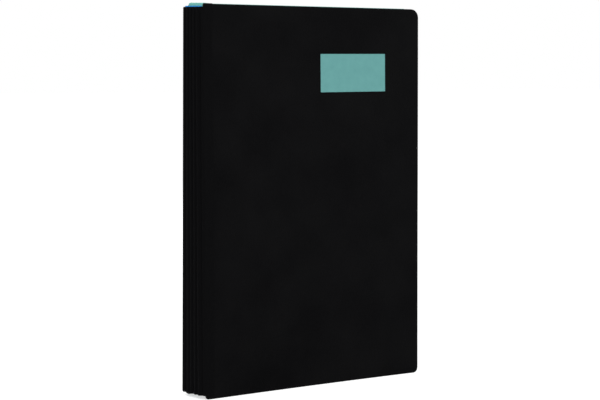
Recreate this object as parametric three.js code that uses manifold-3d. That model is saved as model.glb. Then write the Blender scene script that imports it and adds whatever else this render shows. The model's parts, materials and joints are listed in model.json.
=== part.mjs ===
// A signature book: an expanding folder whose divider leaves hold letters that wait to be signed.
// It stands on the lower edges of its two covers, closed. Millimetres, +Z up. +X runs from the spine to
// the fore edge and -Y is the side of the front cover. The origin is the middle of its footprint.
import * as THREE from "three";
import { mergeVertices } from "three/addons/utils/BufferGeometryUtils.js";
import Module from "manifold-3d";

const wasm = await Module();
wasm.setup();

// Covers: stiff boards wrapped in black leathercloth, with the spine cloth lapped over the hinge edge.
const coverHeight = 340;
const coverWidth = 240;
const boardThickness = 2.2;
const lapWidth = 10;
const lapThickness = 0.4;
const lapBevel = 0.5;
const headForeCornerRadius = 8;
const tailForeCornerRadius = 5;
const frontHeadHingeCornerRadius = 1.2;
const frontTailHingeCornerRadius = 3.5;
const backHeadHingeCornerRadius = 6;
const backTailHingeCornerRadius = 5;
const frontBow = 2;
const backBow = 0.5;
const bowSteps = 16;

// Spread of the expanding spine, from the front cover's outer face to the back cover's.
const spreadAtHead = 30;
const spreadAtTail = 36;

// Lining sheets pasted inside the covers, and the title label on the front.
const liningThickness = 0.2;
const liningMargin = 6;
const liningFromHinge = 12;
const liningCornerRadius = 3;
const labelWidth = 75;
const labelHeight = 34.5;
const labelThickness = 0.25;
const labelCornerRadius = 0.6;
const labelFromForeEdge = 39;
const labelFromHead = 41.5;
const pasteGap = 0.1;

// Pleated spine: the black spine cloth outside and the blue gusset cloth inside it.
const pleats = 5;
const pleatSteps = 10;
const pleatDepth = 2.6;
const pleatStandOut = 2;
const spineClothThickness = 1;
const spineClothFromHead = 2.6;
const spineClothFromTail = 3.6;
const gussetThickness = 0.5;
const gussetAboveCloth = 0.9;
const foldGap = 0.3;

// Divider leaves of blotting card, each with two view holes.
const leafCount = 20;
const leafThickness = 0.5;
const leafWidth = 230;
const leafAboveCover = 0.8;
const leafFromTail = 4.5;
const leafGutterCornerRadius = 4;
const leafForeCornerRadius = 6;
const gutterGlueWidth = 2;
const leafSetInGlue = 1.6;
const glueFromGutterCorner = 0.5;
const viewHoleDiameter = 30;
const viewHoleHeights = [0.3, 0.7];

// Worked out from the driving dimensions.
const coverThickness = boardThickness + lapThickness;
const hingeRadius = coverThickness / 2;
const foreEdgeRadius = boardThickness / 2;
const spineLean = Math.atan((spreadAtTail - spreadAtHead) / coverHeight);
const spreadAt = (z) => spreadAtTail + ((spreadAtHead - spreadAtTail) * z) / coverHeight;
const pleatFront = coverThickness + foldGap;
const pleatSpan = (z) => spreadAt(z) - 2 * pleatFront;
const liningStack = pasteGap + liningThickness + foldGap;
const leafFront = coverThickness + frontBow + liningStack;
const leafBack = (z) => spreadAt(z) - coverThickness - backBow - liningStack;
const leafGutter = pleatDepth - pleatStandOut + spineClothThickness + gussetThickness + 2 * foldGap;
const leafHead = coverHeight + leafAboveCover;

const finish = (color, roughness, metalness = 0) =>
  new THREE.MeshStandardMaterial({ color, roughness, metalness });
const leathercloth = finish("#0b0b0c", 0.55);
const spineCloth = finish("#0a0a0b", 0.7);
const blueCloth = finish("#2e74b4", 0.85);
const blottingCard = finish("#74b5a8", 0.95);
const liningPaper = finish("#78bab0", 0.9);
const labelPaper = finish("#69a2a0", 0.8);

// Solids: three.js geometry in and out of the boolean library.
function solidFrom(geometry) {
  const plain = geometry.clone();
  plain.deleteAttribute("normal");
  plain.deleteAttribute("uv");
  const merged = mergeVertices(plain, 1e-4);
  const vertProperties = merged.attributes.position.array;
  const triVerts = new Uint32Array(merged.index.array);
  return new wasm.Manifold(new wasm.Mesh({ numProp: 3, vertProperties, triVerts }));
}

function geometryFrom(solid) {
  const { vertProperties, triVerts } = solid.getMesh();
  const geometry = new THREE.BufferGeometry();
  geometry.setAttribute("position", new THREE.BufferAttribute(Float32Array.from(vertProperties), 3));
  geometry.setIndex(new THREE.BufferAttribute(Uint32Array.from(triVerts), 1));
  geometry.computeVertexNormals();
  return geometry;
}

function named(name, geometry, material) {
  const mesh = new THREE.Mesh(geometry, material);
  mesh.name = name;
  return mesh;
}

// A rectangle in X and Z with its own radius at each corner.
function roundedPanel(x0, x1, z0, z1, { headHinge, headFore, tailHinge, tailFore }) {
  const panel = new THREE.Shape();
  const quarter = Math.PI / 2;
  panel.absarc(x1 - tailFore, z0 + tailFore, tailFore, -quarter, 0);
  panel.absarc(x1 - headFore, z1 - headFore, headFore, 0, quarter);
  panel.absarc(x0 + headHinge, z1 - headHinge, headHinge, quarter, 2 * quarter);
  panel.absarc(x0 + tailHinge, z0 + tailHinge, tailHinge, 2 * quarter, 3 * quarter);
  panel.closePath();
  return panel;
}

const sameCorners = (hinge, fore) => ({ headHinge: hinge, headFore: fore, tailHinge: hinge, tailFore: fore });

// Extrudes a shape drawn in X and Z along Y, from y0 to y1.
function extrudeAlongY(shape, y0, y1, curveSegments) {
  const geometry = new THREE.ExtrudeGeometry(shape, { depth: y1 - y0, bevelEnabled: false, curveSegments });
  return geometry.rotateX(Math.PI / 2).translate(0, y1, 0);
}

// Extrudes a shape drawn in X and Y up along Z, from z0 to z1.
function extrudeAlongZ(shape, z0, z1, curveSegments = 6) {
  const geometry = new THREE.ExtrudeGeometry(shape, { depth: z1 - z0, bevelEnabled: false, curveSegments });
  return geometry.translate(0, 0, z0);
}

// How far a board has bowed towards the leaves at x. Every sheet on the board follows the same facets.
const bowStart = lapWidth + lapBevel;
const bowLength = coverWidth - foreEdgeRadius - bowStart;

function bowAt(bow, x) {
  const place = (THREE.MathUtils.clamp(x - bowStart, 0, bowLength) / bowLength) * bowSteps;
  const step = Math.min(Math.floor(place), bowSteps - 1);
  const rise = (k) => (4 * bow * k * (bowSteps - k)) / bowSteps ** 2;
  return THREE.MathUtils.lerp(rise(step), rise(step + 1), place - step);
}

function stationsBetween(x0, x1) {
  const stations = Array.from({ length: bowSteps + 1 }, (_, k) => bowStart + (bowLength * k) / bowSteps);
  return [x0, ...stations.filter((x) => x > x0 && x < x1), x1];
}

// A cover: its section is drawn with y running inwards from the outer face, and side turns that to +Y or -Y.
function cover(bow, headHinge, tailHinge, side) {
  const section = new THREE.Shape();
  const stations = stationsBetween(bowStart, coverWidth - foreEdgeRadius);
  const quarter = Math.PI / 2;
  section.absarc(hingeRadius, hingeRadius, hingeRadius, quarter, 3 * quarter);
  section.lineTo(lapWidth, 0);
  for (const x of stations) section.lineTo(x, lapThickness + bowAt(bow, x));
  section.absarc(coverWidth - foreEdgeRadius, lapThickness + foreEdgeRadius, foreEdgeRadius, -quarter, quarter);
  for (const x of stations.reverse()) section.lineTo(x, coverThickness + bowAt(bow, x));
  section.closePath();
  const points = section.getPoints(4).map((p) => new THREE.Vector2(p.x, side * p.y));
  const board = solidFrom(extrudeAlongZ(new THREE.Shape(points), 0, coverHeight));
  const corners = { headHinge, headFore: headForeCornerRadius, tailHinge, tailFore: tailForeCornerRadius };
  const panel = roundedPanel(0, coverWidth, 0, coverHeight, corners);
  const reach = coverThickness + bow;
  const outline = solidFrom(extrudeAlongY(panel, -reach, reach, 6));
  return geometryFrom(board.intersect(outline));
}

// A thin sheet pasted on a board: near is its distance from the outer face on the side that touches the board.
function pastedSheet(bow, side, near, far, panel, x0, x1) {
  const stations = stationsBetween(x0, x1);
  const section = [
    ...stations.map((x) => new THREE.Vector2(x, side * (near + bowAt(bow, x)))),
    ...stations.reverse().map((x) => new THREE.Vector2(x, side * (far + bowAt(bow, x)))),
  ];
  const sheet = solidFrom(extrudeAlongZ(new THREE.Shape(section), 0, coverHeight));
  const reach = coverThickness + bow + liningStack;
  return geometryFrom(sheet.intersect(solidFrom(extrudeAlongY(panel, -reach, reach, 4))));
}

function lining(bow, side) {
  const x1 = coverWidth - liningMargin;
  const z1 = coverHeight - liningMargin;
  const corners = sameCorners(liningCornerRadius, liningCornerRadius);
  const panel = roundedPanel(liningFromHinge, x1, liningMargin, z1, corners);
  const near = coverThickness + pasteGap;
  return pastedSheet(bow, side, near, near + liningThickness, panel, liningFromHinge, x1);
}

function titleLabel() {
  const x1 = coverWidth - labelFromForeEdge;
  const x0 = x1 - labelWidth;
  const z1 = coverHeight - labelFromHead;
  const corners = sameCorners(labelCornerRadius, labelCornerRadius);
  const panel = roundedPanel(x0, x1, z1 - labelHeight, z1, corners);
  const near = lapThickness - pasteGap;
  return pastedSheet(frontBow, 1, near, near - labelThickness, panel, x0, x1);
}

// A pleated strip between the covers. Its section is drawn at the tail and narrows with the spread above it.
function pleatedStrip(inset, thickness, z0, z1) {
  const steps = pleats * pleatSteps;
  const depth = pleatSpan(0);
  const outer = Array.from({ length: steps + 1 }, (_, k) => {
    const fold = (pleatDepth / 2) * (1 + Math.cos((2 * Math.PI * pleats * k) / steps));
    return new THREE.Vector2(inset - pleatStandOut + fold, (depth * k) / steps);
  });
  const inner = outer.map((p) => new THREE.Vector2(p.x + thickness, p.y)).reverse();
  const strip = extrudeAlongZ(new THREE.Shape([...outer, ...inner]), z0, z1);
  const place = strip.attributes.position;
  for (let i = 0; i < place.count; i++)
    place.setY(i, pleatFront + (place.getY(i) * pleatSpan(place.getZ(i))) / depth);
  return geometryFrom(solidFrom(strip));
}

// The divider leaves are one glued block, fanned from the front cover's plane to the back cover's.
function leaf(index) {
  const share = index / (leafCount - 1);
  const frontAt = (z) => leafFront + share * (leafBack(z) - leafThickness - leafFront);
  const lean = Math.atan((frontAt(0) - frontAt(coverHeight)) / coverHeight);
  const foot = leafFromTail;
  const x0 = leafGutter + gutterGlueWidth - leafSetInGlue;
  const x1 = x0 + leafWidth;
  const corners = sameCorners(leafGutterCornerRadius, leafForeCornerRadius);
  const panel = roundedPanel(x0, x1, foot, leafHead, corners);
  for (const height of viewHoleHeights) {
    const hole = new THREE.Path();
    const z = THREE.MathUtils.lerp(foot, leafHead, height);
    hole.absarc((x0 + x1) / 2, z, viewHoleDiameter / 2, 0, 2 * Math.PI, true);
    panel.holes.push(hole);
  }
  const sheet = extrudeAlongY(panel, 0, leafThickness, 5);
  return solidFrom(sheet.rotateX(lean).translate(0, frontAt(0), 0));
}

function gutterGlue() {
  const fromEnd = leafGutterCornerRadius + glueFromGutterCorner;
  const z0 = leafFromTail + fromEnd;
  const z1 = leafHead - fromEnd;
  const inset = leafThickness / 2;
  const strip = new THREE.Shape([
    new THREE.Vector2(leafFront + inset, z0),
    new THREE.Vector2(leafBack(z0) - inset, z0),
    new THREE.Vector2(leafBack(z1) - inset, z1),
    new THREE.Vector2(leafFront + inset, z1),
  ]);
  const geometry = new THREE.ExtrudeGeometry(strip, { depth: gutterGlueWidth, bevelEnabled: false });
  const turned = new THREE.Matrix4().makeBasis(
    new THREE.Vector3(0, 1, 0),
    new THREE.Vector3(0, 0, 1),
    new THREE.Vector3(1, 0, 0),
  );
  return solidFrom(geometry.applyMatrix4(turned).translate(leafGutter, 0, 0));
}

function dividerLeaves() {
  const leaves = Array.from({ length: leafCount }, (_, index) => leaf(index));
  return geometryFrom(leaves.reduce((block, sheet) => block.add(sheet), gutterGlue()));
}

// Front cover with its lining and title label.
const front = new THREE.Group();
const frontBoard = cover(frontBow, frontHeadHingeCornerRadius, frontTailHingeCornerRadius, 1);
front.add(named("front_cover", frontBoard, leathercloth));
front.add(named("front_lining", lining(frontBow, 1), liningPaper));
front.add(named("title_label", titleLabel(), labelPaper));

// Back cover with its lining, leaning with the spread of the spine and standing on the same floor.
const back = new THREE.Group();
const backBoard = cover(backBow, backHeadHingeCornerRadius, backTailHingeCornerRadius, -1);
back.add(named("back_cover", backBoard, leathercloth));
back.add(named("back_lining", lining(backBow, -1), liningPaper));
back.rotation.x = spineLean;
back.position.set(0, spreadAtTail, (coverThickness + backBow) * Math.sin(spineLean));

// Expanding spine and the leaves that it carries.
const clothHead = coverHeight - spineClothFromHead;
const gussetInset = spineClothThickness + foldGap;
const spine = new THREE.Group();
spine.add(named("spine_cloth", pleatedStrip(0, spineClothThickness, spineClothFromTail, clothHead), spineCloth));
const gusset = pleatedStrip(gussetInset, gussetThickness, spineClothFromTail, clothHead + gussetAboveCloth);
spine.add(named("gusset", gusset, blueCloth));
spine.add(named("divider_leaves", dividerLeaves(), blottingCard));

// The whole book, moved so that the middle of its footprint is the origin.
const book = new THREE.Group();
book.add(front, spine, back);
book.position.set(-(coverWidth - pleatStandOut) / 2, -spreadAtTail / 2, 0);

export default book;
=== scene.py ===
"""The looks of a signature book: a black expanding folder with divider leaves that stands closed.

Lengths are metres, +Z is up, +X runs from the spine to the fore edge and -Y is the side of the front
cover. Each sub-assembly is a class that builds its own meshes, dresses them and puts them on the body
that they move with. A cover is drawn as (x from its hinge edge, depth from its outer face, z), and a
placement then turns that into the frame's own coordinates.
"""

import json
import logging
import math
from abc import ABC, abstractmethod
from dataclasses import astuple, dataclass, field, replace
from enum import Enum
from typing import Any, Callable, Iterable, Sequence

import bmesh
import bpy
import numpy as np
from mathutils import Matrix, Vector


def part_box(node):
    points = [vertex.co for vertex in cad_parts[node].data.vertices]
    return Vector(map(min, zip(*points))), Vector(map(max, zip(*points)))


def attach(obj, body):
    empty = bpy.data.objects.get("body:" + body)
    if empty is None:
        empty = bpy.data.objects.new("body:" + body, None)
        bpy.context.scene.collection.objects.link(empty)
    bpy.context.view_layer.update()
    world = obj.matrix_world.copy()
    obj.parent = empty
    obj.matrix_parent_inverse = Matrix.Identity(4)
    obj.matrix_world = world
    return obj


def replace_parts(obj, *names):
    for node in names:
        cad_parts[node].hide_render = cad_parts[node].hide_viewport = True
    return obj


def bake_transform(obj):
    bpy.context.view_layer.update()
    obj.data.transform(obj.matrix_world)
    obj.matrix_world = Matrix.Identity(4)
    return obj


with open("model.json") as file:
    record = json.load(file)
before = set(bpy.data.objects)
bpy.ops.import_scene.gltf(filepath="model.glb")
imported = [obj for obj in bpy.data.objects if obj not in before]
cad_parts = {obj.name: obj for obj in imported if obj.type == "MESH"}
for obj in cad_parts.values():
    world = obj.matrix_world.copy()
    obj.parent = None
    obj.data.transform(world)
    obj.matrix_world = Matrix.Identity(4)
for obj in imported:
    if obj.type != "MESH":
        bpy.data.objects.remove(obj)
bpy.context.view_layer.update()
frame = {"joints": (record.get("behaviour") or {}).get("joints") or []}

MM = 0.001
SMALLEST_RADIUS = 0.05 * MM
CLOSEST_STOPS = 0.12 * MM
CORNER_BAND = 1.3
PAPER_SEED = 7
CAMERA_FROM_CORNER = Vector((-820.8, -1254.6, 275.8)) * MM

log = logging.getLogger("signature_book")

Socket = bpy.types.NodeSocket
Bend = Callable[[np.ndarray], np.ndarray]
Colour = tuple[float, float, float, float]
Range = tuple[float, float]


class Body(Enum):
    """The bodies that the pieces move with."""

    BLOCK = "book_block"
    FRONT = "front_board"
    BACK = "back_board"


def node_box(node: str) -> tuple[Vector, Vector]:
    """The lowest and the highest corner of one solid of the frame."""
    low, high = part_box(node)
    return Vector(low), Vector(high)


def hinge_axis(body: Body) -> Vector:
    """The axis of the hinge that turns a body, as a unit vector."""
    found = next(joint for joint in frame["joints"] if joint["child"] == body.value)
    return Vector(found["axis"]).normalized()


def stations(stops: Iterable[float], step: float) -> np.ndarray:
    """Spaces points along a line.

    Args:
        stops: Places that need a point. One that is too close to the one before it is left out.
        step: The widest space allowed between two points.

    Returns:
        The points in rising order.
    """
    marks: list[float] = []
    ordered = sorted(stops)
    for stop in ordered:
        if not marks or stop - marks[-1] > CLOSEST_STOPS:
            marks.append(stop)
    marks[-1] = ordered[-1]
    spans = [
        np.linspace(start, end, max(1, math.ceil((end - start) / step)), endpoint=False)
        for start, end in zip(marks, marks[1:])
    ]
    return np.append(np.concatenate(spans), marks[-1])


def smooth_step(values: np.ndarray, start: float, end: float) -> np.ndarray:
    """A curve that leaves 0 at the start given and eases to 1 at the end."""
    t = np.clip((values - start) / (end - start), 0, 1)
    return t * t * (3 - 2 * t)


@dataclass(frozen=True)
class Corners:
    """Corner radii of a panel."""

    head_hinge: float
    head_fore: float
    tail_hinge: float
    tail_fore: float

    @classmethod
    def even(cls, radius: float) -> "Corners":
        """The same radius at all four corners."""
        return cls(radius, radius, radius, radius)

    def less(self, by: float) -> "Corners":
        """The radii of the same outline drawn further in, by the length given."""
        return Corners(*(max(radius - by, SMALLEST_RADIUS) for radius in astuple(self)))


@dataclass(frozen=True)
class Hole:
    """A round hole in a panel, with the half side of the square of mesh round it."""

    x: float
    z: float
    radius: float
    reach: float


@dataclass(frozen=True)
class Panel:
    """A flat outline with rounded corners, in X and Z."""

    x0: float
    x1: float
    z0: float
    z1: float
    corners: Corners
    holes: tuple[Hole, ...] = ()
    x_stops: tuple[float, ...] = ()
    z_stops: tuple[float, ...] = ()
    arc_steps: int = 6

    def inset(self, by: float) -> "Panel":
        """The same panel drawn further in, by the length given."""
        sides = {"x0": self.x0 + by, "x1": self.x1 - by, "z0": self.z0 + by, "z1": self.z1 - by}
        return replace(self, **sides, corners=self.corners.less(by))

    def columns(self, step: float) -> np.ndarray:
        """Places the mesh columns.

        Args:
            step: The widest column.

        Returns:
            The x of each column, close together round the corners.
        """
        turns = [1 - math.cos(math.pi / 2 * k / self.arc_steps) for k in range(self.arc_steps + 1)]
        c = self.corners
        stops = [self.x0 + r * turn for r in (c.head_hinge, c.tail_hinge) for turn in turns]
        stops += [self.x1 - r * turn for r in (c.head_fore, c.tail_fore) for turn in turns]
        stops += [x for x in self.x_stops if self.x0 < x < self.x1]
        for hole in self.holes:
            stops += [hole.x - hole.reach, hole.x + hole.reach]
        return stations(stops, step)

    def rows(self, xs: np.ndarray, step: float) -> np.ndarray:
        """Places the mesh rows of every column.

        Args:
            xs: The x of each column.
            step: The tallest row.

        Returns:
            The z of each point, by column and row.
        """
        low, high = self.limits(xs)
        band = CORNER_BAND * max(astuple(self.corners)) + CLOSEST_STOPS
        foot, head = self.z0 + band, self.z1 - band
        stops = [foot, head, *(z for z in self.z_stops if foot < z < head)]
        for hole in self.holes:
            stops += [hole.z - hole.reach, hole.z + hole.reach]
        share = np.linspace(0, 1, self.arc_steps)
        below = low[:, None] + (foot - low)[:, None] * share[:-1]
        between = np.tile(stations(stops, step), (len(xs), 1))
        above = head + (high - head)[:, None] * share[1:]
        return np.concatenate([below, between, above], axis=1)

    def limits(self, xs: np.ndarray) -> tuple[np.ndarray, np.ndarray]:
        """Finds the outline above and below.

        Args:
            xs: Where to read it.

        Returns:
            The lowest and the highest z of the panel at each x.
        """
        c = self.corners

        def drop(hinge: float, fore: float) -> np.ndarray:
            """Finds how far the outline is in from the panel's end.

            Args:
                hinge: Radius of the corner at the hinge.
                fore: Radius of the corner at the fore edge.

            Returns:
                The distance at each x.
            """
            past_hinge = np.clip(self.x0 + hinge - xs, 0, hinge)
            past_fore = np.clip(xs - self.x1 + fore, 0, fore)
            return hinge - np.sqrt(hinge**2 - past_hinge**2) + fore - np.sqrt(fore**2 - past_fore**2)

        return self.z0 + drop(c.tail_hinge, c.tail_fore), self.z1 - drop(c.head_hinge, c.head_fore)

    def outward(self, x: float, z: float) -> tuple[float, float]:
        """Finds the outline's outward direction.

        Args:
            x: Place on the outline.
            z: Place on the outline.

        Returns:
            The direction in X and Z.
        """
        c = self.corners
        at_head = z > (self.z0 + self.z1) / 2
        if x < (self.x0 + self.x1) / 2:
            radius = c.head_hinge if at_head else c.tail_hinge
            core_x = max(x, self.x0 + radius)
        else:
            radius = c.head_fore if at_head else c.tail_fore
            core_x = min(x, self.x1 - radius)
        core_z = min(z, self.z1 - radius) if at_head else max(z, self.z0 + radius)
        length = math.hypot(x - core_x, z - core_z)
        return (x - core_x) / length, (z - core_z) / length


@dataclass
class Sheet:
    """A closed mesh of a thin sheet, still as numbers. Its points are (x, depth, z)."""

    points: np.ndarray
    faces: list[tuple[int, ...]]
    wear: np.ndarray
    flat: np.ndarray = field(init=False)

    def __post_init__(self) -> None:
        """Keeps the flat place of every point, which the weave and the grain follow."""
        self.flat = self.points[:, [0, 2]].copy()

    def bent(self, bend: Bend) -> "Sheet":
        """This sheet, with its points moved by the function given."""
        self.points = bend(self.points)
        return self

    def joined(self, other: "Sheet") -> "Sheet":
        """Adds another sheet to the same mesh.

        Args:
            other: The sheet to add.

        Returns:
            This sheet.
        """
        start = len(self.points)
        self.points = np.concatenate([self.points, other.points])
        self.flat = np.concatenate([self.flat, other.flat])
        self.wear = np.concatenate([self.wear, other.wear])
        self.faces += [tuple(start + k for k in face) for face in other.faces]
        return self

    def to_object(self, name: str) -> bpy.types.Object:
        """Makes the Blender object.

        Args:
            name: Name of the piece.

        Returns:
            The object, smooth, with its faces turned outwards.
        """
        mesh = bpy.data.meshes.new(name)
        mesh.from_pydata(self.points.tolist(), [], self.faces)
        flat = mesh.uv_layers.new(name="flat")
        corners = np.empty(len(mesh.loops), dtype=np.int32)
        mesh.loops.foreach_get("vertex_index", corners)
        flat.data.foreach_set("uv", self.flat[corners].astype(np.float32).ravel())
        wear = mesh.attributes.new("wear", "FLOAT", "POINT")
        wear.data.foreach_set("value", self.wear.astype(np.float32))
        work = bmesh.new()
        work.from_mesh(mesh)
        bmesh.ops.recalc_face_normals(work, faces=work.faces)
        work.to_mesh(mesh)
        work.free()
        mesh.shade_smooth()
        piece = bpy.data.objects.new(name, mesh)
        bpy.context.scene.collection.objects.link(piece)
        return piece


class SlabMaker:
    """Builds a sheet of even thickness on a panel, with rounded edges and any round holes."""

    def __init__(
        self, panel: Panel, thickness: float, edge: float, step: float, row_step: float = 0.0
    ) -> None:
        """Lays out the mesh.

        Args:
            panel: The outline, as large as the finished sheet.
            thickness: Thickness of the sheet.
            edge: Radius of its edges.
            step: The widest mesh face.
            row_step: The tallest one, where that isn't the same.
        """
        self.inner = panel.inset(edge)
        self.thickness = thickness
        self.edge = edge
        self.xs = self.inner.columns(step)
        self.zs = self.inner.rows(self.xs, row_step or step)
        self.columns, self.rows = self.zs.shape
        self.points: list[tuple[float, float, float, float]] = []
        self.faces: list[tuple[int, ...]] = []

    def index(self, column: int, row: int, layer: int) -> int:
        """The number of a point of the outer (0) or the inner (1) face."""
        return layer * self.columns * self.rows + column * self.rows + row

    def add(self, x: float, depth: float, z: float, wear: float) -> int:
        """Adds a point, rubbed by the share given, and returns its number."""
        self.points.append((x, depth, z, wear))
        return len(self.points) - 1

    def profile(self, steps: int = 3) -> list[tuple[float, float]]:
        """Draws the rounded edge.

        Args:
            steps: Number of faces round each of its two corners.

        Returns:
            Rows of (reach outwards, depth), from the outer face to the inner one.
        """
        turn = [math.pi / 2 * k / steps for k in range(1, steps + 1)]
        first = [(self.edge * math.sin(a), self.edge * (1 - math.cos(a))) for a in turn]
        second = [(reach, self.thickness - depth) for reach, depth in reversed(first)]
        return first + (second if self.thickness > 2 * self.edge + SMALLEST_RADIUS else second[1:])

    def loop(self, first: int, last: int, low: int, high: int) -> list[tuple[int, int]]:
        """Goes round a block of the grid, counter-clockwise.

        Args:
            first: Its first column.
            last: Its last column.
            low: Its lowest row.
            high: Its highest row.

        Returns:
            The grid places as (column, row), from its lowest corner.
        """
        places = [(column, low) for column in range(first, last)]
        places += [(last, row) for row in range(low, high)]
        places += [(column, high) for column in range(last, first, -1)]
        return places + [(first, row) for row in range(high, low, -1)]

    def bridge(self, one: Sequence[int], other: Sequence[int]) -> None:
        """Adds the faces between two closed loops with as many points."""
        pairs = list(zip(one, other))
        self.faces += [(a, c, d, b) for (a, b), (c, d) in zip(pairs, pairs[1:] + pairs[:1])]

    def block_of(self, hole: Hole) -> list[int]:
        """The first and last column and the lowest and highest row of the square round a hole."""
        lines = ((self.xs, hole.x), (self.zs[self.columns // 2], hole.z))
        return [
            int(np.argmin(abs(line - at - side)))
            for line, at in lines
            for side in (-hole.reach, hole.reach)
        ]

    def add_faces(self) -> None:
        """Adds the outer and the inner face, open where the holes are."""
        for layer in (0, 1):
            for column, x in enumerate(self.xs):
                for z in self.zs[column]:
                    self.add(float(x), layer * self.thickness, float(z), 0.0)
        blocks = [self.block_of(hole) for hole in self.inner.holes]
        for column in range(self.columns - 1):
            for row in range(self.rows - 1):
                if any(a <= column < b and c <= row < d for a, b, c, d in blocks):
                    continue
                square = ((column, row), (column + 1, row), (column + 1, row + 1), (column, row + 1))
                for layer in (0, 1):
                    self.faces.append(tuple(self.index(i, j, layer) for i, j in square))

    def add_rim(self) -> None:
        """Adds the rounded edge all round the sheet."""
        places = self.loop(0, self.columns - 1, 0, self.rows - 1)
        outer = [self.index(i, j, 0) for i, j in places]
        spots = [(float(self.xs[i]), float(self.zs[i, j])) for i, j in places]
        ways = [self.inner.outward(x, z) for x, z in spots]
        before = outer
        for reach, depth in self.profile():
            ring = [
                self.add(x + reach * way[0], depth, z + reach * way[1], 1.0)
                for (x, z), way in zip(spots, ways)
            ]
            self.bridge(before, ring)
            before = ring
        self.bridge(before, [self.index(i, j, 1) for i, j in places])

    def add_hole(self, hole: Hole, rings: int = 3) -> None:
        """Adds the mesh between the square round a hole and the hole, and the hole's wall.

        Args:
            hole: The hole.
            rings: Number of rings of faces between the two.
        """
        places = self.loop(*self.block_of(hole))
        walls: list[list[int]] = []
        for layer in (0, 1):
            before = [self.index(i, j, layer) for i, j in places]
            start = [(self.points[k][0], self.points[k][2]) for k in before]
            for ring in range(1, rings + 1):
                share = ring / rings
                after = []
                for x, z in start:
                    length = math.hypot(x - hole.x, z - hole.z)
                    round_x = hole.x + (x - hole.x) * hole.radius / length
                    round_z = hole.z + (z - hole.z) * hole.radius / length
                    spot = (x + (round_x - x) * share, z + (round_z - z) * share)
                    after.append(self.add(spot[0], layer * self.thickness, spot[1], 0.0))
                self.bridge(before, after)
                before = after
            walls.append(before)
        self.bridge(walls[0], walls[1])

    def build(self) -> Sheet:
        """Builds the sheet.

        Returns:
            The closed sheet, with no loose points.
        """
        self.add_faces()
        self.add_rim()
        for hole in self.inner.holes:
            self.add_hole(hole)
        used = sorted({k for face in self.faces for k in face})
        renumbered = {old: new for new, old in enumerate(used)}
        faces = [tuple(renumbered[k] for k in face) for face in self.faces]
        table = np.array(self.points)[used]
        return Sheet(table[:, :3], faces, table[:, 3])


class NodeWriter:
    """Adds nodes to one node tree."""

    def __init__(self, tree: bpy.types.NodeTree) -> None:
        """Takes the tree to write in."""
        self.tree = tree

    def give(self, target: Socket, value: Any) -> None:
        """Feeds one input.

        Args:
            target: The input.
            value: A socket to link to it, or the value that it holds.
        """
        if isinstance(value, bpy.types.NodeSocket):
            self.tree.links.new(value, target)
        else:
            target.default_value = value

    def add(self, kind: str, inputs: dict[Any, Any] | None = None, **settings: Any) -> bpy.types.Node:
        """Adds a node.

        Args:
            kind: Blender's name of the node's type.
            inputs: Values or sockets for its inputs, by name or number.
            **settings: The node's own properties.

        Returns:
            The node.
        """
        node = self.tree.nodes.new(kind)
        for key, value in settings.items():
            setattr(node, key, value)
        for key, value in (inputs or {}).items():
            self.give(node.inputs[key], value)
        return node

    def math(self, operation: str, *values: Any) -> Socket:
        """One sum on sockets or numbers, such as MULTIPLY."""
        return self.add("ShaderNodeMath", dict(enumerate(values)), operation=operation).outputs[0]

    def seen_ray(self) -> Socket:
        """Adds what tells the rays that show the surroundings.

        Returns:
            What is 1 for camera, glossy and transmission rays, and 0 for all others.
        """
        rays = self.add("ShaderNodeLightPath").outputs
        seen = self.math("MAXIMUM", rays["Is Camera Ray"], rays["Is Glossy Ray"])
        return self.math("MAXIMUM", seen, rays["Is Transmission Ray"])


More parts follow.
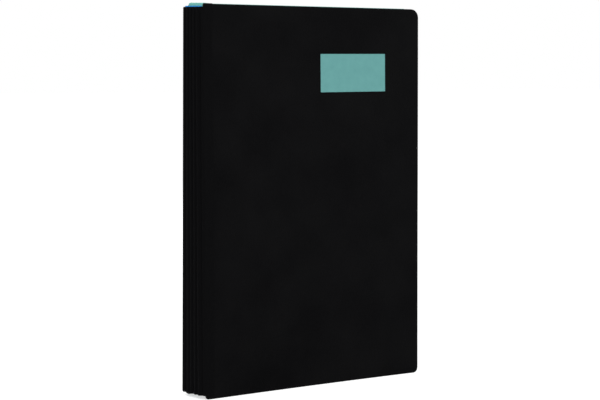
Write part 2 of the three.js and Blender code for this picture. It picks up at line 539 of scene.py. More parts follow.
class ShaderGraph(NodeWriter):
    """Writes the node tree of one material."""

    def __init__(self, name: str) -> None:
        """Starts the material.

        Args:
            name: Name of the material.
        """
        self.material = bpy.data.materials.new(name)
        self.material.use_nodes = True
        super().__init__(self.material.node_tree)
        self.shader = self.tree.nodes["Principled BSDF"]
        places = self.add("ShaderNodeTexCoord")
        self.solid_place: Socket = places.outputs["Object"]
        self.flat_place: Socket = places.outputs["UV"]

    def noise(self, size: float, detail: float, place: Socket | None = None) -> Socket:
        """Noise whose patches are about as wide as the size given."""
        inputs = {"Vector": place or self.solid_place, "Scale": 1 / size, "Detail": detail}
        return self.add("ShaderNodeTexNoise", inputs).outputs["Fac"]

    def pebbles(self, size: float, smoothness: float = 0.35) -> Socket:
        """Rounded cells of about the width given, 0 in their middle."""
        inputs = {"Vector": self.solid_place, "Scale": 1 / size, "Smoothness": smoothness}
        return self.add("ShaderNodeTexVoronoi", inputs, feature="SMOOTH_F1").outputs["Distance"]

    def weave(self, pitch: float) -> Socket:
        """The height of a plain weave on the flat cloth, with the thread pitch given."""
        parts = self.add("ShaderNodeSeparateXYZ", {0: self.flat_place}).outputs
        return self.math(
            "MULTIPLY",
            *(self.math("SINE", self.math("MULTIPLY", parts[k], 2 * math.pi / pitch)) for k in (0, 1)),
        )

    def remap(self, value: Socket, band: Range, to: Range = (0.0, 1.0)) -> Socket:
        """Stretches a value from one range to another, and holds it there."""
        inputs = dict(enumerate((value, *band, *to)))
        return self.add("ShaderNodeMapRange", inputs, clamp=True).outputs[0]

    def blend(self, share: Socket, one: Any, other: Any) -> Socket:
        """Mixes two colours.

        Args:
            share: How much there is of the second one.
            one: The first colour, or a socket that gives it.
            other: The second one.

        Returns:
            The mixed colour.
        """
        node = self.add("ShaderNodeMix", {"Factor": share}, data_type="RGBA")
        ends = [socket for socket in node.inputs if socket.type == "RGBA"]
        for end, colour in zip(ends, (one, other)):
            self.give(end, colour)
        return next(socket for socket in node.outputs if socket.type == "RGBA")

    def bump(self, height: Socket, rise: float) -> Socket:
        """A bumped normal, whose full height is the rise given."""
        inputs = {"Height": height, "Distance": rise, "Strength": 1.0}
        return self.add("ShaderNodeBump", inputs).outputs[0]

    def wear(self) -> Socket:
        """The mesh's own wear, 1 at its edges."""
        return self.add("ShaderNodeAttribute", attribute_name="wear").outputs["Fac"]

    def put(self, **values: Any) -> bpy.types.Material:
        """Sets the shader's inputs.

        Args:
            **values: Sockets or numbers by input name, with _ for a space.

        Returns:
            The finished material.
        """
        for key, value in values.items():
            self.give(self.shader.inputs[key.replace("_", " ")], value)
        return self.material


def linear(red: int, green: int, blue: int) -> Colour:
    """Turns a screen colour, 0 to 255 in each channel, into a linear one.

    Args:
        red: Its red.
        green: Its green.
        blue: Its blue.

    Returns:
        The opaque colour in linear light.
    """
    shares = (value / 255 for value in (red, green, blue))
    values = [s / 12.92 if s <= 0.04045 else ((s + 0.055) / 1.055) ** 2.4 for s in shares]
    return values[0], values[1], values[2], 1.0


class Finish(ABC):
    """How one material of the record looks."""

    slot: str

    @abstractmethod
    def write(self, graph: ShaderGraph) -> bpy.types.Material:
        """Writes the finish.

        Args:
            graph: Where to write it.

        Returns:
            The finished material.
        """

    def dress(self, piece: bpy.types.Object) -> None:
        """Gives a piece this finish, in a material named after the record's slot.

        Args:
            piece: The piece.
        """
        name = f"{self.slot}_finish"
        material = bpy.data.materials.get(name) or self.write(ShaderGraph(name))
        piece.data.materials.clear()
        piece.data.materials.append(material)


@dataclass(frozen=True)
class Leathercloth(Finish):
    """Black coated cloth with a fine pressed pebble grain, a little greyer on its worn edges."""

    slot: str = "leathercloth"
    dark: Colour = linear(2, 2, 3)
    light: Colour = linear(8, 8, 9)
    worn: Colour = linear(38, 37, 36)
    grain: float = 0.9 * MM
    grain_rise: float = 0.14 * MM
    fine_share: float = 0.3
    crease_share: float = 0.5
    cloud: float = 45 * MM
    cloud_band: Range = (0.35, 0.7)
    rub: float = 3 * MM
    rub_band: Range = (0.5, 0.72)
    rub_share: float = 0.5
    rough_band: Range = (0, 1.6)
    roughness: Range = (0.34, 0.56)
    gloss: float = 0.027

    def write(self, graph: ShaderGraph) -> bpy.types.Material:
        """Writes the finish.

        Args:
            graph: Where to write it.

        Returns:
            The finished material.
        """
        cells = graph.pebbles(self.grain)
        creases = graph.math("MULTIPLY", graph.noise(4 * self.grain, detail=4), self.crease_share)
        fine = graph.math("MULTIPLY", graph.noise(0.25 * self.grain, detail=2), self.fine_share)
        height = graph.math("ADD", graph.math("MULTIPLY", cells, -1.0), fine)
        height = graph.math("ADD", height, creases)
        clouds = graph.remap(graph.noise(self.cloud, detail=3), self.cloud_band)
        rubbed = graph.remap(graph.noise(self.rub, detail=4), self.rub_band)
        edge = graph.math("MULTIPLY", graph.math("MULTIPLY", graph.wear(), rubbed), self.rub_share)
        colour = graph.blend(clouds, self.dark, self.light)
        return graph.put(
            Base_Color=graph.blend(edge, colour, self.worn),
            Roughness=graph.remap(graph.math("ADD", clouds, cells), self.rough_band, self.roughness),
            Specular_IOR_Level=self.gloss,
            Normal=graph.bump(height, self.grain_rise),
        )


@dataclass(frozen=True)
class WovenCloth(Finish):
    """Plain woven cloth, such as the black spine cloth and the blue gusset cloth."""

    slot: str
    dark: Colour
    light: Colour
    pitch: float = 0.45 * MM
    rise: float = 0.06 * MM
    slub: float = 1.2 * MM
    slub_share: float = 0.8
    slub_band: Range = (0.3, 0.7)
    colour_band: Range = (-0.6, 1.6)
    roughness: Range = (0.72, 0.88)
    gloss: float = 0.03

    def write(self, graph: ShaderGraph) -> bpy.types.Material:
        """Writes the finish.

        Args:
            graph: Where to write it.

        Returns:
            The finished material.
        """
        threads = graph.weave(self.pitch)
        slubs = graph.noise(self.slub, 3, graph.flat_place)
        share = graph.remap(graph.math("ADD", threads, slubs), self.colour_band)
        height = graph.math("ADD", threads, graph.math("MULTIPLY", slubs, self.slub_share))
        return graph.put(
            Base_Color=graph.blend(share, self.dark, self.light),
            Roughness=graph.remap(slubs, self.slub_band, self.roughness),
            Specular_IOR_Level=self.gloss,
            Normal=graph.bump(height, self.rise),
        )


@dataclass(frozen=True)
class CardStock(Finish):
    """Dyed paper or card: soft mottling, short fibres and a faintly rough face."""

    slot: str
    dark: Colour
    light: Colour
    mottle: float
    mottle_band: Range = (0.3, 0.7)
    fibre: float = 0.35 * MM
    fibre_share: float = 0.8
    colour_band: Range = (0.55, 1.25)
    rise: float = 0.02 * MM
    roughness: Range = (0.82, 0.94)
    gloss: float = 0.3

    def write(self, graph: ShaderGraph) -> bpy.types.Material:
        """Writes the finish.

        Args:
            graph: Where to write it.

        Returns:
            The finished material.
        """
        clouds = graph.noise(self.mottle, 4, graph.flat_place)
        flecks = graph.noise(self.fibre, 3, graph.flat_place)
        mixed = graph.math("ADD", clouds, graph.math("MULTIPLY", flecks, self.fibre_share))
        return graph.put(
            Base_Color=graph.blend(graph.remap(mixed, self.colour_band), self.dark, self.light),
            Roughness=graph.remap(clouds, self.mottle_band, self.roughness),
            Specular_IOR_Level=self.gloss,
            Normal=graph.bump(flecks, self.rise),
        )


LEATHERCLOTH = Leathercloth()
SPINE_CLOTH = WovenCloth("spine_cloth", linear(3, 3, 4), linear(13, 13, 14))
BLUE_CLOTH = WovenCloth("blue_cloth", linear(34, 122, 208), linear(58, 164, 242), 0.4 * MM)
BLOTTING_CARD = CardStock("blotting_card", linear(114, 180, 170), linear(129, 195, 185), 11 * MM)
LINING_PAPER = CardStock("lining_paper", linear(112, 178, 169), linear(128, 194, 186), 9 * MM)
LABEL_PAPER = CardStock("label_paper", linear(91, 149, 147), linear(103, 160, 158), 8 * MM)


@dataclass(frozen=True)
class Placement:
    """Turns a cover's own coordinates into the frame's."""

    matrix: Matrix

    def __call__(self, points: np.ndarray) -> np.ndarray:
        """The frame's places of points that are rows of (x, depth, z)."""
        turn = np.array(self.matrix.to_3x3())
        return points @ turn.T + np.array(self.matrix.translation)

    def spot(self, x: float, depth: float, z: float) -> Vector:
        """One point of the cover in the frame."""
        return self.matrix @ Vector((x, depth, z))


@dataclass
class Cover:
    """A board wrapped in leathercloth, with its lining sheet and the cloth hinge on its edge."""

    name: str
    body: Body
    placement: Placement
    width: float
    height: float
    corners: Corners
    bow: float
    cloth_tail: float
    cloth_head: float
    thickness: float = 2.2 * MM
    edge_radius: float = 0.85 * MM
    face_step: float = 7 * MM
    hinge_stops: tuple[float, ...] = (4 * MM, 6 * MM)
    fore_stops: tuple[float, ...] = (4 * MM, 2 * MM)
    board_from_fold: float = 1.8 * MM
    lap: float = 10 * MM
    lap_turn_rise: float = 0.42 * MM
    lap_turn_end: float = 11.6 * MM
    lap_turn_ease: float = 0.8 * MM
    lap_turn_depth: float = 12 * MM
    hinge_cloth: float = 0.4 * MM
    cloth_edge: float = 0.12 * MM
    cloth_corner: float = 0.3 * MM
    cloth_step: float = 9 * MM
    knuckle: float = 1.3 * MM
    knuckle_steps: int = 8
    spine_gap: float = 0.3 * MM
    tuck_in: float = 0.35 * MM
    tuck_past: float = 0.5 * MM
    lining_margin: float = 6 * MM
    lining_from_hinge: float = 12 * MM
    lining_thickness: float = 0.2 * MM
    lining_edge: float = 0.05 * MM
    lining_gap: float = 0.04 * MM
    lining_corner: float = 1.5 * MM
    turn_in: float = 15 * MM
    turn_in_step: float = 0.16 * MM
    turn_in_slope: float = 1.2 * MM

    def bowed(self, points: np.ndarray) -> np.ndarray:
        """Bends the board's plane inwards between its hinge and its fore edge.

        Args:
            points: Rows of (x, depth, z).

        Returns:
            The points, moved in depth.
        """
        start = self.lap
        share = np.clip((points[:, 0] - start) / (self.width - self.edge_radius - start), 0, 1)
        moved = points.copy()
        moved[:, 1] += 4 * self.bow * share * (1 - share)
        return moved

    def mounted(self, sheet: Sheet, name: str, finish: Finish, node: str) -> bpy.types.Object:
        """Puts a sheet on the board and makes a piece of it.

        Args:
            sheet: The sheet, drawn as on a flat board.
            name: Name of the piece.
            finish: Its finish.
            node: The solid that it replaces.

        Returns:
            The piece, on the cover's body.
        """
        piece = sheet.bent(self.bowed).bent(self.placement).to_object(name)
        finish.dress(piece)
        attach(piece, self.body.value)
        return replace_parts(piece, node)

    def build_board(self) -> bpy.types.Object:
        """Builds the wrapped board. Its head is a little higher over the turned-in hinge cloth.

        Returns:
            The board.
        """
        turn_start = self.lap_turn_end - self.lap_turn_ease
        turn_foot = self.height - self.lap_turn_depth
        fore = tuple(self.width - stop for stop in self.fore_stops)
        panel = Panel(
            self.board_from_fold,
            self.width,
            0,
            self.height,
            self.corners,
            x_stops=(*self.hinge_stops, self.lap, turn_start, self.lap_turn_end, *fore),
            z_stops=(self.lap_turn_depth, turn_foot),
        )
        sheet = SlabMaker(panel, self.thickness, self.edge_radius, self.face_step).build()
        x, z = sheet.points[:, 0], sheet.points[:, 2]
        over_lap = 1 - smooth_step(x, turn_start, self.lap_turn_end)
        sheet.points[:, 2] += self.lap_turn_rise * over_lap * smooth_step(z, turn_foot, self.height)
        sheet.points[:, 1] += self.hinge_cloth
        return self.mounted(sheet, f"{self.name}_board", LEATHERCLOTH, f"{self.name}_cover")

    def build_lining(self) -> bpy.types.Object:
        """Builds the lining sheet. It steps down where the turned-in leathercloth ends under it.

        Returns:
            The lining.
        """
        margin, slope = self.lining_margin, self.turn_in_slope
        end_x = self.width - self.turn_in
        low_z, high_z = self.turn_in, self.height - self.turn_in
        steps = (0, slope / 2, slope)
        panel = Panel(
            self.lining_from_hinge,
            self.width - margin,
            margin,
            self.height - margin,
            Corners.even(self.lining_corner),
            x_stops=tuple(end_x - step for step in steps),
            z_stops=tuple(z for step in steps for z in (low_z + step, high_z - step)),
        )
        sheet = SlabMaker(panel, self.lining_thickness, self.lining_edge, self.face_step).build()
        x, z = sheet.points[:, 0], sheet.points[:, 2]
        inside = 1 - smooth_step(x, end_x - slope, end_x)
        inside *= smooth_step(z, low_z, low_z + slope)
        inside *= 1 - smooth_step(z, high_z - slope, high_z)
        sheet.points[:, 1] += self.hinge_cloth + self.thickness + self.lining_gap
        sheet.points[:, 1] += self.turn_in_step * (1 - inside)
        return self.mounted(sheet, f"{self.name}_lining_sheet", LINING_PAPER, f"{self.name}_lining")

    def hinge_path(self) -> np.ndarray:
        """Draws the inner face of the cloth hinge, round the knuckle and into the spine's first pleat.

        Returns:
            Rows of (x, depth), from the lap's edge.
        """
        radius, steps = self.knuckle, self.knuckle_steps
        turns = np.linspace(math.pi / 2, math.pi, steps + 1)
        arc = np.stack([radius + radius * np.cos(turns), radius - radius * np.sin(turns)], axis=1)
        flat = np.stack([np.linspace(self.lap, 2 * radius, steps), np.zeros(steps)], axis=1)
        into = 2 * radius + self.spine_gap
        ease = np.linspace(0, 1, steps + 1)[1:]
        depths = radius + (into + self.tuck_past - radius) * ease
        tuck = np.stack([self.tuck_in * ease * ease, depths], axis=1)
        return np.concatenate([flat, arc, tuck])

    def build_hinge_cloth(self) -> bpy.types.Object:
        """Builds the strip of spine cloth that laps the board and is shaped round the knuckle at the
        hinge.

        Returns:
            The strip.
        """
        ribbon = Ribbon(self.hinge_path())
        ends = Corners.even(self.cloth_corner)
        sides = (0, ribbon.length, self.cloth_tail, self.cloth_head)
        panel = Panel(*sides, ends, x_stops=tuple(ribbon.marks[1:-1]), arc_steps=2)
        sheet = SlabMaker(panel, self.hinge_cloth, self.cloth_edge, self.cloth_step).build()
        strip = sheet.bent(ribbon.wrap).bent(self.placement).to_object(f"{self.name}_hinge_cloth")
        SPINE_CLOTH.dress(strip)
        middle = self.height / 2
        start = self.placement.spot(self.knuckle, self.knuckle, middle)
        end = self.placement.spot(self.knuckle, 2 * self.knuckle + self.spine_gap, middle)
        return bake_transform(strip)

    def build(self) -> list[bpy.types.Object]:
        """Builds the whole cover and gives its pieces."""
        return [self.build_board(), self.build_lining(), self.build_hinge_cloth()]


class Ribbon:
    """A path in X and Y that a flat strip follows. Depth is measured to the left of its way."""

    def __init__(self, path: np.ndarray) -> None:
        """Measures the path.

        Args:
            path: Rows of (x, y).
        """
        steps = np.hypot(*np.diff(path, axis=0).T)
        self.path = path
        self.marks = np.concatenate([[0], np.cumsum(steps)])
        self.length = float(self.marks[-1])
        ways = np.gradient(path, self.marks, axis=0)
        ways /= np.hypot(*ways.T)[:, None]
        self.lefts = np.stack([-ways[:, 1], ways[:, 0]], axis=1)

    def wrap(self, points: np.ndarray) -> np.ndarray:
        """Lays flat points along the path.

        Args:
            points: Rows of (length along the path, depth, z).

        Returns:
            Rows of (x, y, z).
        """
        along = points[:, 0]
        laid = points.copy()
        for k in (0, 1):
            place = np.interp(along, self.marks, self.path[:, k])
            laid[:, k] = place + points[:, 1] * np.interp(along, self.marks, self.lefts[:, k])
        return laid


@dataclass
class TitleLabel:
    """The plain paper label on the front cover."""

    cover: Cover
    width: float = 73.2 * MM
    height: float = 34.2 * MM
    thickness: float = 0.24 * MM
    from_fore_edge: float = 39.3 * MM
    from_head: float = 41.7 * MM
    corner: float = 0.4 * MM
    edge: float = 0.07 * MM
    face_step: float = 3 * MM
    pressed_in: float = 0.03 * MM
    askew: float = math.radians(0.35)

    def build(self) -> bpy.types.Object:
        """Builds the label on the bowed board.

        Returns:
            The label.
        """
        x1 = self.cover.width - self.from_fore_edge
        z1 = self.cover.height - self.from_head
        panel = Panel(x1 - self.width, x1, z1 - self.height, z1, Corners.even(self.corner))
        sheet = SlabMaker(panel, self.thickness, self.edge, self.face_step).build()
        sheet.points[:, 1] += self.cover.hinge_cloth - self.thickness + self.pressed_in
        sheet.points[:, 0] -= self.askew * (sheet.points[:, 2] - z1 + self.height / 2)
        sheet.points[:, 2] += self.askew * (sheet.points[:, 0] - x1 + self.width / 2)
        return self.cover.mounted(sheet, "title_label_paper", LABEL_PAPER, "title_label")


@dataclass
class Spine:
    """The pleated spine: black cloth outside and blue gusset cloth inside it."""

    hinge_x: float
    front_y: float
    spread_tail: float
    spread_head: float
    height: float
    tail: float
    cloth_head: float
    gusset_head: float
    held_by: tuple[str, ...] = ("front_board", "back_board", "leaf_block")
    pleats: int = 5
    pleat_steps: int = 24
    pleat_depth: float = 2.6 * MM
    round_share: float = 0.45
    sharp_share: float = 0.55
    sharp_tip: float = 0.985
    stand_out: float = 2 * MM
    side_gap: float = 2.9 * MM
    cloth_thickness: float = 1 * MM
    gusset_thickness: float = 0.5 * MM
    fold_gap: float = 0.3 * MM
    strip_edge: float = 0.35 * MM
    strip_corner: float = 0.2 * MM
    face_step: float = 0.45 * MM
    row_step: float = 8 * MM
    front_head_rise: float = -0.1 * MM
    back_head_rise: float = 0.6 * MM
    sway: float = 0.18 * MM
    sway_across: Range = (21, 4)
    sway_out: Range = (33, 9)

    @property
    def span(self) -> float:
        """What the pleats take of the spread at the tail."""
        return self.spread_tail - 2 * self.side_gap

    def path(self, inset: float) -> np.ndarray:
        """The pleats of the strip as they are at the tail, with soft outer folds.

        Args:
            inset: Distance in from the inner face of the spine cloth.

        Returns:
            Rows of (x, y) of the strip's inner face, from the front cover to the back one.
        """
        share = np.linspace(0, 1, self.pleat_steps * self.pleats + 1)
        phase = 2 * math.pi * self.pleats * share
        round_fold = np.cos(phase)
        sharp_fold = 2 / math.pi * np.arcsin(self.sharp_tip * np.cos(phase))
        shape = 1 + self.round_share * round_fold + self.sharp_share * sharp_fold
        fold = self.pleat_depth / 2 * shape
        return np.stack([inset - self.stand_out + fold, share * self.span], axis=1)

    def narrowed(self, points: np.ndarray) -> np.ndarray:
        """Narrows the strip with the spread of the covers, and puts it in the frame.

        Args:
            points: Rows of (x, y across the spread at the tail, z).

        Returns:
            The points in the frame.
        """
        z = points[:, 2]
        spread = self.spread_tail + (self.spread_head - self.spread_tail) * z / self.height
        share = points[:, 1] / self.span
        sway = self.sway * (4 * np.clip(share, 0, 1) * (1 - np.clip(share, 0, 1)))
        rise = self.front_head_rise * (1 - share) + self.back_head_rise * share
        placed = points.copy()
        placed[:, 1] = self.front_y + self.side_gap + share * (spread - 2 * self.side_gap)
        placed[:, 1] += sway * np.sin(self.sway_across[0] * z + self.sway_across[1] * share)
        out = sway / 2 * np.sin(self.sway_out[0] * z + self.sway_out[1] * share)
        placed[:, 0] += self.hinge_x + out
        placed[:, 2] += rise * z / self.height
        return placed

    def strip(self, name: str, inset: float, thickness: float, head: float) -> bpy.types.Object:
        """Builds one pleated strip.

        Args:
            name: Name of the piece.
            inset: Distance in from the inner face of the spine cloth.
            thickness: Thickness of the cloth.
            head: Height of its upper edge.

        Returns:
            The strip.
        """
        ribbon = Ribbon(self.path(inset))
        corners = Corners.even(self.strip_corner)
        panel = Panel(0, ribbon.length, self.tail, head, corners, arc_steps=2)
        edge = min(self.strip_edge, thickness / 2.2)
        sheet = SlabMaker(panel, thickness, edge, self.face_step, self.row_step).build()
        piece = sheet.bent(ribbon.wrap).bent(self.narrowed).to_object(name)
        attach(piece, Body.BLOCK.value)
        return piece

    def build(self) -> list[bpy.types.Object]:
        """Builds both strips.

        Returns:
            The spine cloth and the gusset.
        """
        cloth = self.strip("spine_cloth_strip", 0, self.cloth_thickness, self.cloth_head)
        SPINE_CLOTH.dress(cloth)
        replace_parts(cloth, "spine_cloth")
        inset = self.cloth_thickness + self.fold_gap
        gusset = self.strip("gusset_strip", inset, self.gusset_thickness, self.gusset_head)
        BLUE_CLOTH.dress(gusset)
        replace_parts(gusset, "gusset")
        return [cloth, gusset]


@dataclass
class LeafBlock:
    """The divider leaves, fanned between the covers and glued together at the gutter.

    What a leaf may differ by is a range in millimetres, which the random draws use.
    """

    low: Vector
    high: Vector
    spread_change: float
    height: float
    count: int = 20
    thickness: float = 0.5 * MM
    edge: float = 0.12 * MM
    face_step: float = 11 * MM
    corner: float = 6 * MM
    gutter_corner: float = 2.4 * MM
    fore_play: Range = (-0.5, 0)
    tail_play: Range = (0, 0.3)
    head_play: Range = (0, 0.2)
    front_head_drop: float = 0.4 * MM
    back_head_rise: float = 0.45 * MM
    gutter_lift: float = 0.55 * MM
    lift_from_gutter: Range = (4 * MM, 12 * MM)
    lift_from_head: float = 40 * MM
    hole_radius: float = 15 * MM
    hole_square: float = 1.3
    hole_heights: tuple[float, ...] = (0.3, 0.7)
    set_in_glue: float = 1.6 * MM
    glue_width: float = 2 * MM
    glue_edge: float = 0.3 * MM
    glue_step: float = 0.1
    glue_from_end: float = 3 * MM
    crease_from_gutter: float = 14 * MM
    crease_rise: float = 0.12 * MM
    crease_width: float = 0.45 * MM
    crease_stops: tuple[float, ...] = (-1, -0.5, 0, 0.5, 1)
    loose_from_gutter: float = 60 * MM
    wave: float = 0.1 * MM
    wave_turns: Range = (9, 12)

    def front_at(self, share: float, z: np.ndarray) -> np.ndarray:
        """Y of a leaf's front face at each z, for share 0 at the front leaf to 1 at the back one."""
        at_tail = self.low.y + share * (self.high.y - self.low.y - self.thickness)
        return at_tail - share * self.spread_change * (z - self.low.z) / self.height

    def leaf(self, index: int, chance: np.random.Generator) -> Sheet:
        """Builds one leaf.

        Args:
            index: Its number, from the front.
            chance: Source of the small differences between the leaves.

        Returns:
            The leaf, in the frame.
        """
        x0 = self.low.x + self.glue_width - self.set_in_glue
        x1 = self.high.x + chance.uniform(*self.fore_play) * MM
        z0 = self.low.z + chance.uniform(*self.tail_play) * MM
        share = index / (self.count - 1)
        z1 = self.high.z - chance.uniform(*self.head_play) * MM
        z1 += share * self.back_head_rise - (1 - share) * self.front_head_drop
        middle, span = (x0 + self.high.x) / 2, self.high.z - self.low.z
        reach = self.hole_square * self.hole_radius
        holes = tuple(
            Hole(middle, self.low.z + place * span, self.hole_radius, reach)
            for place in self.hole_heights
        )
        corners = Corners(self.gutter_corner, self.corner, self.gutter_corner, self.corner)
        crease = x0 + self.crease_from_gutter
        stops = tuple(crease + stop * MM for stop in self.crease_stops)
        panel = Panel(x0, x1, z0, z1, corners, holes, x_stops=stops, arc_steps=5)
        sheet = SlabMaker(panel, self.thickness, self.edge, self.face_step).build()
        x, z = sheet.points[:, 0], sheet.points[:, 2]
        phase = chance.uniform(0, 2 * math.pi)
        loose = smooth_step(x, x0, x0 + self.loose_from_gutter)
        near, far = self.lift_from_gutter
        near_gutter = 1 - smooth_step(x, x0 + near, x0 + far)
        lift = self.gutter_lift * near_gutter * smooth_step(z, z1 - self.lift_from_head, z1)
        turns = self.wave_turns[0] * x + self.wave_turns[1] * z + phase
        sheet.points[:, 1] += self.front_at(share, z)
        sheet.points[:, 1] += self.wave * loose * np.sin(turns)
        sheet.points[:, 1] += self.crease_rise * np.exp(-(((x - crease) / self.crease_width) ** 2))
        sheet.points[:, 2] += lift
        return sheet

    def glue(self) -> Sheet:
        """Builds the glued gutter strip.

        Returns:
            The strip, in the frame.
        """
        length = self.high.z - self.low.z - 2 * self.glue_from_end
        panel = Panel(0, 1, 0, length, Corners.even(self.glue_edge), arc_steps=2)
        sheet = SlabMaker(panel, self.glue_width, self.glue_edge, self.glue_step).build()
        share = sheet.points[:, 0].copy()
        z = sheet.points[:, 2] + self.low.z + self.glue_from_end
        front = self.front_at(0.0, z) + self.thickness / 2
        back = self.front_at(1.0, z) + self.thickness / 2
        y = front + share * (back - front)
        sheet.points = np.stack([self.low.x + sheet.points[:, 1], y, z], axis=1)
        return sheet

    def build(self) -> bpy.types.Object:
        """Builds the block.

        Returns:
            One object with all the leaves and their glue.
        """
        chance = np.random.default_rng(PAPER_SEED)
        block = self.glue()
        for index in range(self.count):
            block.joined(self.leaf(index, chance))
        leaves = block.to_object("leaf_block")
        BLOTTING_CARD.dress(leaves)
        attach(leaves, Body.BLOCK.value)
        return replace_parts(leaves, "divider_leaves")


@dataclass(frozen=True)
class Lamp:
    """A soft square lamp that faces the book, with the side of its face and its power in watts."""

    name: str
    place: Vector
    size: float
    power: float

    def hang(self, aim: Vector) -> None:
        """Hangs the lamp.

        Args:
            aim: What it faces.
        """
        data = bpy.data.lights.new(self.name, "AREA")
        data.size = self.size
        data.energy = self.power
        lamp = bpy.data.objects.new(self.name, data)
        turn = (aim - self.place).to_track_quat("-Z", "Y").to_matrix().to_4x4()
        lamp.matrix_world = Matrix.Translation(self.place) @ turn
        bpy.context.scene.collection.objects.link(lamp)


LAMPS = (
    Lamp("key_lamp", Vector((-1.5, -1.6, 1.5)), 1.4, 34),
    Lamp("fill_lamp", Vector((1.7, -1.1, 1.0)), 1.6, 10),
    Lamp("back_lamp", Vector((0.4, 1.9, 1.6)), 1.6, 16),
)


@dataclass
class Studio:
    """Camera, lamps, floor and white surroundings."""

    aim: Vector
    camera_place: Vector
    yaw: float = math.radians(36.349)
    pitch: float = math.radians(3.939)
    roll: float = math.radians(-0.167)
    lens: float = 105.41
    sensor: float = 36.0
    sight: float = 200.0
    floor_size: float = 60.0
    floor_grey: float = 0.8
    floor_lift: float = 0.6
    surround: float = 0.55

    def set_camera(self) -> None:
        """Places the camera as the fit to the photograph gives it."""
        camera = bpy.data.objects.new("camera", bpy.data.cameras.new("camera"))
        bpy.context.scene.collection.objects.link(camera)
        camera.data.lens = self.lens
        camera.data.sensor_width = self.sensor
        camera.data.clip_end = self.sight
        turn = Matrix.Rotation(-self.yaw, 4, "Z") @ Matrix.Rotation(math.pi / 2 - self.pitch, 4, "X")
        roll = Matrix.Rotation(self.roll, 4, "Z")
        camera.matrix_world = Matrix.Translation(self.camera_place) @ turn @ roll
        bpy.context.scene.camera = camera

    def lay_floor(self) -> None:
        """Lays the pale floor. It keeps the book's shadow and runs out to white."""
        half = self.floor_size / 2
        mesh = bpy.data.meshes.new("floor")
        corners = [(-half, -half, 0), (half, -half, 0), (half, half, 0), (-half, half, 0)]
        mesh.from_pydata(corners, [], [(0, 1, 2, 3)])
        floor = bpy.data.objects.new("floor", mesh)
        bpy.context.scene.collection.objects.link(floor)
        material = bpy.data.materials.new("floor_finish")
        material.use_nodes = True
        writer = NodeWriter(material.node_tree)
        writer.tree.nodes.clear()
        grey = self.floor_grey
        matte = writer.add("ShaderNodeBsdfDiffuse", {"Color": (grey, grey, grey, 1)})
        strength = writer.math("MULTIPLY", writer.seen_ray(), self.floor_lift)
        lift = writer.add("ShaderNodeEmission", {"Strength": strength})
        both = writer.add("ShaderNodeAddShader", {0: matte.outputs[0], 1: lift.outputs[0]})
        writer.add("ShaderNodeOutputMaterial", {"Surface": both.outputs[0]})
        mesh.materials.append(material)

    def light_surroundings(self) -> None:
        """Makes the surroundings white where they are seen and softer as light."""
        world = bpy.data.worlds.new("surroundings")
        world.use_nodes = True
        writer = NodeWriter(world.node_tree)
        levels = {0: writer.seen_ray(), 3: self.surround, 4: 1.0}
        strength = writer.add("ShaderNodeMapRange", levels).outputs[0]
        background = writer.tree.nodes["Background"]
        writer.give(background.inputs["Color"], (1, 1, 1, 1))
        writer.give(background.inputs["Strength"], strength)
        bpy.context.scene.world = world

    def build(self) -> None:
        """Sets up everything round the book."""
        self.set_camera()
        for lamp in LAMPS:
            lamp.hang(self.aim)
        self.lay_floor()
        self.light_surroundings()
        bpy.context.scene.view_settings.view_transform = "Standard"


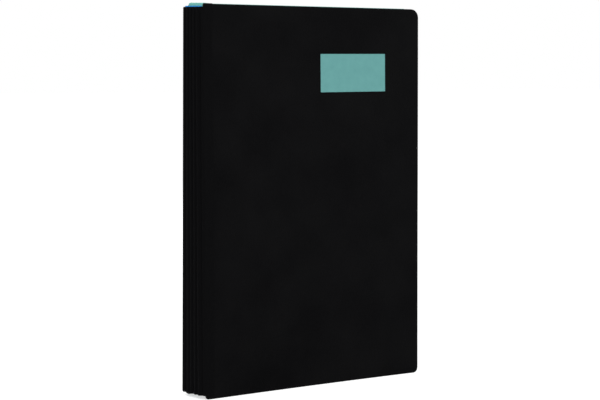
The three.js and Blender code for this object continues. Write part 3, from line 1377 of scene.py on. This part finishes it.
@dataclass
class SignatureBook:
    """The whole book, with its sizes read from the frame."""

    front_low: Vector
    front_high: Vector
    back_low: Vector
    back_high: Vector
    lean: float
    front_bow: float = 2 * MM
    back_bow: float = 0.5 * MM
    cover_thickness: float = 2.6 * MM
    front_corners: Corners = Corners(1.2 * MM, 8 * MM, 3.5 * MM, 5 * MM)
    back_corners: Corners = Corners(6 * MM, 8 * MM, 5 * MM, 5 * MM)

    @classmethod
    def from_frame(cls) -> "SignatureBook":
        """The book with the boxes of its covers, and the lean of the back one."""
        axis = hinge_axis(Body.BACK)
        return cls(*node_box("front_cover"), *node_box("back_cover"), math.atan2(-axis.y, axis.z))

    @property
    def height(self) -> float:
        """Height of the covers."""
        return self.front_high.z - self.front_low.z

    @property
    def width(self) -> float:
        """Width of the covers, from the hinge edge to the fore edge."""
        return self.front_high.x - self.front_low.x

    def cover(self, name: str, body: Body, matrix: Matrix, corners: Corners, bow: float) -> Cover:
        """Makes one cover.

        Args:
            name: Start of its pieces' names.
            body: The body that it moves with.
            matrix: Its place in the frame.
            corners: Radii of its corners.
            bow: How far its middle is bowed inwards.

        Returns:
            The cover, with the cloth hinge as high as the spine cloth.
        """
        low, high = node_box("spine_cloth")
        size = (self.width, self.height)
        return Cover(name, body, Placement(matrix), *size, corners, bow, low.z, high.z)

    def front_cover(self) -> Cover:
        """The front cover, square to the frame."""
        matrix = Matrix.Translation(self.front_low)
        return self.cover("front", Body.FRONT, matrix, self.front_corners, self.front_bow)

    def back_cover(self) -> Cover:
        """The back cover, which leans with the spread of the spine.

        Returns:
            The cover, drawn like the front one and mirrored.
        """
        lift = (self.cover_thickness + self.back_bow) * math.sin(self.lean)
        foot = Vector((self.back_low.x, self.back_high.y, lift))
        mirror = Matrix.Scale(-1, 4, Vector((0, 1, 0)))
        matrix = Matrix.Translation(foot) @ Matrix.Rotation(self.lean, 4, "X") @ mirror
        return self.cover("back", Body.BACK, matrix, self.back_corners, self.back_bow)

    def spine(self) -> Spine:
        """Makes the spine between the covers.

        Returns:
            The spine, as high as its solids are.
        """
        spread_tail = self.back_high.y - self.front_low.y
        spread_head = spread_tail - self.height * math.tan(self.lean)
        low, high = node_box("spine_cloth")
        gusset_head = node_box("gusset")[1].z
        corner = (self.front_low.x, self.front_low.y)
        return Spine(*corner, spread_tail, spread_head, self.height, low.z, high.z, gusset_head)

    def leaves(self) -> LeafBlock:
        """The divider leaves, in the room that the frame's solid has for them."""
        change = self.height * math.tan(self.lean)
        return LeafBlock(*node_box("divider_leaves"), change, self.height)

    def build(self) -> list[bpy.types.Object]:
        """Builds every piece.

        Returns:
            The pieces in the order they are made.
        """
        front, back = self.front_cover(), self.back_cover()
        pieces = front.build()
        pieces.append(TitleLabel(front).build())
        pieces += back.build()
        pieces += self.spine().build()
        pieces.append(self.leaves().build())
        return pieces


def main() -> None:
    """Builds the book and the studio."""
    logging.basicConfig(level=logging.INFO, format="%(message)s")
    book = SignatureBook.from_frame()
    middle = Vector((0, 0, book.height / 2))
    Studio(middle, book.front_low + CAMERA_FROM_CORNER).build()
    for piece in book.build():
        log.info("%s: %d faces", piece.name, len(piece.data.polygons))


if __name__ == "__main__":
    main()
